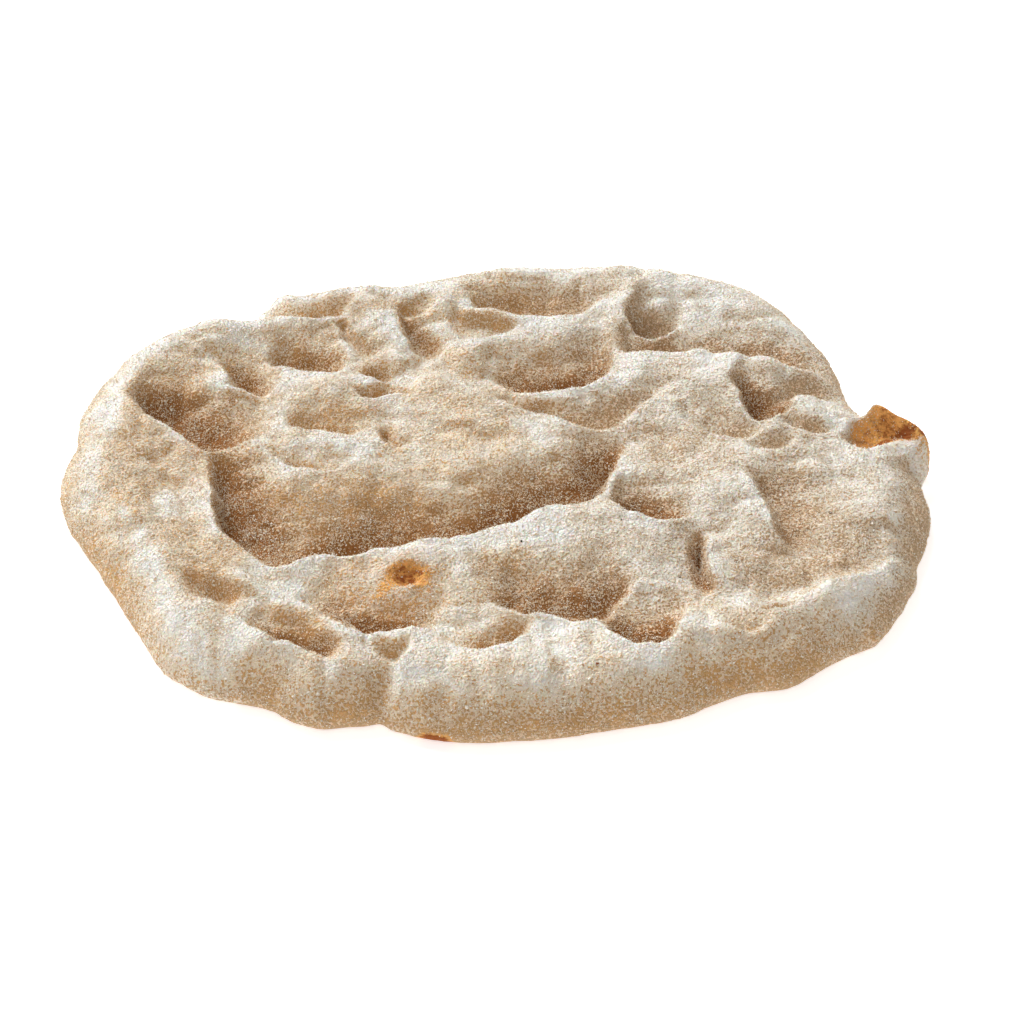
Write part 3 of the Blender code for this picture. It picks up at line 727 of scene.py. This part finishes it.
def flour_cover_and_light(u, v, height, normals, shade_and_bare, crest_highlight, browned):
    """Flour at each point, from below 0, bare dough, to above 1, thick flour, with painted light and shade in
    it.
    """
    # Painted light: faces turned towards the key light get a thicker cover, and so are painted lighter
    facing_light = smooth_step(-0.1, 1.0, normals @ np.array(FLOUR_AND_LIGHT_FROM))
    cover_and_light = COVER_FACING * facing_light - COVER_VALLEY_LOSS * shade_and_bare**1.4 + COVER_CREST * crest_highlight
    # The side of the rim faces outwards near the edge, and has a cover of its own, with painted light on the
    # side that faces the key light
    outward = (normals[:, :2] * np.stack([u, v], 1)).sum(1) / np.hypot(u, v).clip(1)
    inset = edge_radius(np.arctan2(v, u)) / MM - np.hypot(u, v)
    side = smooth_step(0.1, 0.6, outward) * smooth_step(24, 14, inset)
    high, low = smooth_step(12, 17, height), smooth_step(14, 5, height)
    side_cover_and_light = RIM_COVER + RIM_COVER_FACING * normals @ np.array(RIM_FLOUR_AND_LIGHT_FROM)
    side_cover_and_light += RIM_COVER_HEIGHT * high - RIM_COVER_HEIGHT * low
    cover_and_light += (np.maximum(side_cover_and_light, RIM_COVER_LEAST) - cover_and_light) * side
    everywhere = COVER_EVERYWHERE + COVER_BACK * smooth_step(BACK_FROM, BACK_FULLY, v)
    cover_and_light += sum((share * ripple(u, v, wide, seed) for share, wide, seed in COVER_CLOUDS), everywhere)
    dusty_and_lit, bare_and_shaded = spots_share(u, v, DUSTY_AND_LIT), spots_share(u, v, BARE_AND_SHADED)
    return cover_and_light + (COVER_DUSTY_AND_LIT * dusty_and_lit - COVER_BARE_AND_SHADE_LOSS * bare_and_shaded - COVER_BROWNED_LOSS * browned)


def flour_masks(u, v, points, normals):
    """What the material reads at each point: flour and painted light, painted shade, browned crust, orange
    flush, paleness.
    """
    height = points[:, 2] / MM
    shade_and_bare, crest_highlight = valley_masks(u, v)
    shade_and_bare = shade_and_bare * (1 - BACK_VALLEY_FADE * smooth_step(BACK_FROM, BACK_FULLY, v))
    not_facing_back = smooth_step(0.8, 0.3, normals[:, 1])
    low_down = smooth_step(6, 3, height)
    browned = spots_share(u, v, BROWNED) * not_facing_back
    browned = np.maximum(browned, spots_share(u, v, SCORCHED_FOOT) * low_down)
    right_side = smooth_step(-20, 60, u) * smooth_step(-90, -50, v)
    return {
        "cover_and_light": flour_cover_and_light(u, v, height, normals, shade_and_bare, crest_highlight, browned),
        # painted shade deep in valleys, and at the foot of the rim
        "shade_and_bare": np.maximum(shade_and_bare, FOOT_TONE * smooth_step(3, 0.3, height)),
        "browned": browned,
        "blush": spots_share(u, v, BLUSH),
        # paler on the right front, and at the foot of the rim a painted shade
        "pale": np.maximum(right_side, FOOT_PALENESS * smooth_step(8, 2, height)),
    }


def keep_masks(made, masks):
    """Stores the masks on the mesh, where the material reads them by name."""
    for name, values in masks.items():
        layer = made.data.attributes.new(name, "FLOAT", "POINT")
        layer.data.foreach_set("value", values.astype(np.float32))


# ---------------------------------------------------------------- grains

def grain_mesh(centres, sizes, rng):
    """Points and faces of a small four-sided grain at each centre, each turned and stretched its own way."""
    count = len(centres)
    corners = np.array([(1, 1, 1), (1, -1, -1), (-1, 1, -1), (-1, -1, 1)]) / math.sqrt(3)
    corners = corners[None] * rng.uniform(0.7, 1.35, (count, 4, 1))
    q = rng.normal(size=(count, 4))
    w, x, y, z = (q / np.linalg.norm(q, axis=1, keepdims=True)).T
    turn = np.stack([
        1 - 2 * (y * y + z * z), 2 * (x * y - z * w), 2 * (x * z + y * w),
        2 * (x * y + z * w), 1 - 2 * (x * x + z * z), 2 * (y * z - x * w),
        2 * (x * z - y * w), 2 * (y * z + x * w), 1 - 2 * (x * x + y * y),
    ], 1).reshape(-1, 3, 3)
    points = np.einsum("nij,nkj->nki", turn, corners) * (sizes / 2)[:, None, None] + centres[:, None]
    order = np.array([(0, 1, 2), (0, 2, 3), (0, 3, 1), (1, 3, 2)])
    faces = (np.arange(count)[:, None, None] * 4 + order[None]).reshape(-1, 3)
    return points.reshape(-1, 3), faces


def scatter(name, surface, density, count, size, seed, material):
    """This many grains of about this size, set into the surface and thickest where density is high."""
    points, faces, normals = surface
    rng = np.random.default_rng(seed)
    a, b, c = (points[faces[:, k]] for k in range(3))
    area = np.linalg.norm(np.cross(b - a, c - a), axis=1)
    weight = area * density[faces].mean(1)
    chosen = rng.choice(len(faces), count, p=weight / weight.sum())
    s, t = rng.uniform(size=(2, count, 1))
    s, t = np.where(s + t > 1, 1 - s, s), np.where(s + t > 1, 1 - t, t)
    places = a[chosen] + s * (b - a)[chosen] + t * (c - a)[chosen]
    out = normals[faces[chosen, 0]]
    sizes = size * rng.lognormal(0, GRAIN_SPREAD, count)
    centres = places + out * (sizes * (0.5 - GRAIN_SINK))[:, None]
    grains, grain_faces = grain_mesh(centres, sizes, rng)
    grains = np.clip(grains, np.array(cad_low), np.array(cad_high))
    made = new_mesh(name, grains, grain_faces, smooth=False)
    made.data.materials.append(material)
    return made


def flakes(name, places, surface, seed, material):
    """Flat flakes that lie on the skin at these plan places, each with its own outline and heading."""
    points, _, normals = surface
    rng = np.random.default_rng(seed)
    ring = np.linspace(0, 2 * math.pi, FLAKE_CORNERS + 1)[:-1]
    all_points, all_faces = [], []
    top = np.where(normals[:, 2] > 0.05)[0]
    for x, y, length in places:
        place = np.array([x, y]) * MM - plan_middle()[:2]
        near = top[np.argmin(((points[top, :2] - place) ** 2).sum(1))]
        out = normals[near]
        along = np.cross(out, rng.normal(size=3))
        along /= np.linalg.norm(along)
        across = np.cross(out, along)
        reach = length * MM / 2 * rng.uniform(0.75, 1.1, FLAKE_CORNERS)
        rim = [along * math.cos(a) * r + across * math.sin(a) * r * FLAKE_WIDTH for a, r in zip(ring, reach)]
        middle = points[near] + out * FLAKE_THICKNESS * FLAKE_LIFT
        first = len(all_points)
        all_points += [middle + out * FLAKE_THICKNESS / 2, middle - out * FLAKE_THICKNESS / 2]
        all_points += [middle + r for r in rim]
        for k in range(FLAKE_CORNERS):
            a, b = first + 2 + k, first + 2 + (k + 1) % FLAKE_CORNERS
            all_faces += [(first, a, b), (first + 1, b, a)]
    points = np.clip(np.array(all_points), np.array(cad_low), np.array(cad_high))
    made = new_mesh(name, points, all_faces, smooth=False)
    made.data.materials.append(material)
    return made


# ---------------------------------------------------------------- materials

class Nodes:
    """Short calls for building one material's nodes."""

    def __init__(self, name):
        self.material = bpy.data.materials.new(name)
        self.material.use_nodes = True
        self.tree = self.material.node_tree
        self.shader = self.tree.nodes["Principled BSDF"]

    def node(self, kind, inputs=(), **settings):
        """A node of this kind. An input is a plain value or another node's output."""
        made = self.tree.nodes.new(kind)
        for key, value in settings.items():
            setattr(made, key, value)
        for key, value in dict(inputs).items():
            self.put(value, made.inputs[key])
        return made

    def put(self, value, socket):
        """Feeds a plain value or another node's output to an input."""
        if isinstance(value, bpy.types.NodeSocket):
            self.tree.links.new(value, socket)
        else:
            socket.default_value = value

    def math(self, operation, a, b):
        return self.node("ShaderNodeMath", {0: a, 1: b}, operation=operation).outputs[0]

    def add(self, a, b):
        return self.math("ADD", a, b)

    def minus(self, a, b):
        return self.math("SUBTRACT", a, b)

    def times(self, a, b):
        return self.math("MULTIPLY", a, b)

    def noise(self, size, detail=2.0, rough=0.5):
        """Noise from 0 to 1 whose features are about this many millimetres across."""
        if not hasattr(self, "places"):
            self.places = self.node("ShaderNodeTexCoord").outputs["Object"]
        return self.node("ShaderNodeTexNoise", {
            "Vector": self.places, "Scale": 1 / (size * MM), "Detail": detail, "Roughness": rough,
        }).outputs["Fac"]

    def step(self, value, low, high):
        """0 below low and 1 above high, with a smooth step between."""
        return self.node("ShaderNodeMapRange", {
            "Value": value, "From Min": low, "From Max": high,
        }, interpolation_type="SMOOTHSTEP").outputs["Result"]

    def mix(self, share, a, b):
        """Colour a where share is 0 and colour b where it is 1."""
        made = self.node("ShaderNodeMix", data_type="RGBA")
        self.put(share, made.inputs["Factor"])
        for value, socket in ((a, made.inputs[6]), (b, made.inputs[7])):
            self.put(value if isinstance(value, bpy.types.NodeSocket) else (*value, 1), socket)
        return made.outputs[2]

    def mask(self, name):
        """A value that the mesh stores for each of its points."""
        return self.node("ShaderNodeAttribute", attribute_name=name).outputs["Fac"]


def dough_colour(n, fine, shade_and_bare, browned, blush, pale):
    """The bare dough: golden in patches, darker in painted shade deep down, flushed here and there, and
    browned to crust.
    """
    patch, broad = n.noise(PATCH_SIZE, 3.0), n.noise(BROAD_SIZE, 2.0)
    dough = n.mix(n.step(patch, 0.35, 0.65), DOUGH_TAN, DOUGH_GOLD)
    # Paler on the right front, and at the foot of the rim, where it is painted shade
    dough = n.mix(n.times(pale, 0.65), dough, DOUGH_PALE)
    # Painted shade: darker towards the bottom of deep valleys and at the foot of the rim
    dough = n.mix(n.step(shade_and_bare, 0.1, 1.0), dough, DOUGH_SHADED)
    dough = n.mix(blush, dough, BLUSH_ORANGE)
    mottle = n.add(n.noise(CRUST_MOTTLE_SIZE, 4.0, 0.7), n.times(n.minus(broad, 0.5), 0.4))
    burnt = n.add(mottle, n.times(n.minus(browned, 0.75), 0.4))
    crust = n.mix(n.step(burnt, 0.43, 0.75), CRUST_AMBER, CRUST_DARK)
    browning = n.add(browned, n.times(n.minus(fine, 0.5), 0.35))
    return n.mix(n.step(browning, 0.1, 0.9), dough, crust)


def flour_colour(n, cover_and_light, blush, pale):
    """The flour: tan where it is thin or in painted shade, then warm or pale, and cream where it is thick or
    in painted light.
    """
    floured = n.mix(n.step(cover_and_light, 0.2, 0.8), FLOUR_TAN, n.mix(pale, FLOUR_WARM, FLOUR_PALE))
    floured = n.mix(n.step(cover_and_light, 0.75, 1.15), floured, FLOUR_CREAM)
    return n.mix(n.times(blush, 0.4), floured, FLOUR_FLUSHED)


def dough_material():
    """The floured skin: flour over dough, broken up by grit, with grit and specks standing up a little."""
    n = Nodes("floured_dough")
    fine, grit = n.step(n.noise(SPECK_SIZE), 0.3, 0.7), n.step(n.noise(GRIT_SIZE, 1.0), 0.3, 0.7)
    cover_and_light, blush, pale = n.mask("cover_and_light"), n.mask("blush"), n.mask("pale")
    speckle = n.add(n.times(fine, 0.35), n.times(grit, 0.7))
    flour = n.step(n.minus(cover_and_light, speckle), -FLOUR_EDGE, FLOUR_EDGE)
    dough = dough_colour(n, fine, n.mask("shade_and_bare"), n.mask("browned"), blush, pale)
    n.put(n.mix(flour, dough, flour_colour(n, cover_and_light, blush, pale)), n.shader.inputs["Base Color"])
    n.shader.inputs["Roughness"].default_value = 0.82
    n.shader.inputs["Specular IOR Level"].default_value = 0.25
    n.shader.inputs["Subsurface Weight"].default_value = 0.3
    n.shader.inputs["Subsurface Radius"].default_value = (1, 0.5, 0.25)
    n.shader.inputs["Subsurface Scale"].default_value = 2 * MM
    relief = n.add(n.times(grit, 0.6), n.times(fine, 0.4))
    bump = n.node("ShaderNodeBump", {"Height": relief, "Strength": 1.0, "Distance": BUMP_HEIGHT})
    n.put(bump.outputs["Normal"], n.shader.inputs["Normal"])
    return n.material


def plain_material(name, colour, roughness):
    """A material of one colour."""
    n = Nodes(name)
    n.shader.inputs["Base Color"].default_value = (*colour, 1)
    n.shader.inputs["Roughness"].default_value = roughness
    n.shader.inputs["Specular IOR Level"].default_value = 0.3
    return n.material


# ---------------------------------------------------------------- studio

def make_studio():
    """A pale floor that glows a little, an even sky and the lights."""
    bpy.ops.mesh.primitive_plane_add(size=FLOOR_SIZE, location=(0, 0, -FLOOR_DROP))
    floor = bpy.context.object
    floor.name = "studio_floor"
    white = plain_material("studio_white", FLOOR_WHITE, 0.9)
    shader = white.node_tree.nodes["Principled BSDF"]
    shader.inputs["Emission Color"].default_value = (1, 1, 1, 1)
    shader.inputs["Emission Strength"].default_value = FLOOR_GLOW
    floor.data.materials.append(white)
    world = bpy.data.worlds.new("studio")
    bpy.context.scene.world = world
    world.use_nodes = True
    sky = world.node_tree.nodes["Background"]
    sky.inputs["Color"].default_value = (*WORLD_WHITE, 1)
    sky.inputs["Strength"].default_value = WORLD_STRENGTH
    for name, strength, spread, direction in LIGHTS:
        data = bpy.data.lights.new(name, "SUN")
        data.energy, data.angle = strength, math.radians(spread)
        light = bpy.data.objects.new(name, data)
        bpy.context.scene.collection.objects.link(light)
        light.rotation_euler = Vector(direction).to_track_quat("Z", "Y").to_euler()
    bpy.context.scene.view_settings.view_transform = "Standard"


def make_camera():
    """The camera in front of the bread, looking down on it."""
    data = bpy.data.cameras.new("camera")
    data.lens, data.sensor_width = CAMERA_LENS, CAMERA_SENSOR
    camera = bpy.data.objects.new("camera", data)
    bpy.context.scene.collection.objects.link(camera)
    target = Vector(CAMERA_TARGET)
    back = Vector((0, -math.cos(CAMERA_ELEVATION), math.sin(CAMERA_ELEVATION)))
    camera.location = target + back * CAMERA_DISTANCE
    camera.rotation_euler = (target - camera.location).to_track_quat("-Z", "Y").to_euler()
    bpy.context.scene.camera = camera


def grain_densities(points, normals, masks):
    """How thickly grains lie at each point: on slopes and in valleys, and where the cover of flour and
    painted light is high.
    """
    u, v = (points[:, :2] + plan_middle()[:2]).T / MM
    above = smooth_step(1, 5, points[:, 2] / MM) * smooth_step(-0.35, 0.3, normals[:, 2])
    gathered = 0.55 + 0.45 * ripple(u, v, 5, 21)
    dusted = above * gathered * (1 - 0.9 * np.minimum(masks["browned"], 1))
    return {
        "slopes": dusted * (0.35 + smooth_step(1.0, 0.5, masks["cover_and_light"]) + masks["shade_and_bare"]),
        "thick": dusted * smooth_step(0.4, 0.9, masks["cover_and_light"]),
    }


def main():
    make_camera()
    make_studio()
    points, faces, normals, masks = dressed_skin()
    dough = new_mesh("dough_skin", points, faces, smooth=True)
    keep_masks(dough, masks)
    dough.data.materials.append(dough_material())
    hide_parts("pinsa")
    surface = points, faces, normals
    densities = grain_densities(points, normals, masks)
    materials = {
        "flour": plain_material("flour_grain", FLOUR_GRAIN, 0.75),
        "semolina": plain_material("semolina_grain", SEMOLINA_GRAIN, 0.6),
    }
    for name, where, count, size, seed, kind in GRAINS:
        scatter(name, surface, densities[where], count, size, seed, materials[kind])
    flakes("bran_flakes", BRAN, surface, 41, plain_material("charred_bran", BRAN_CHARRED, 0.6))
    flakes("rust_bran_flakes", RUST_BRAN, surface, 42, plain_material("rust_bran", BRAN_RUST, 0.6))


main()
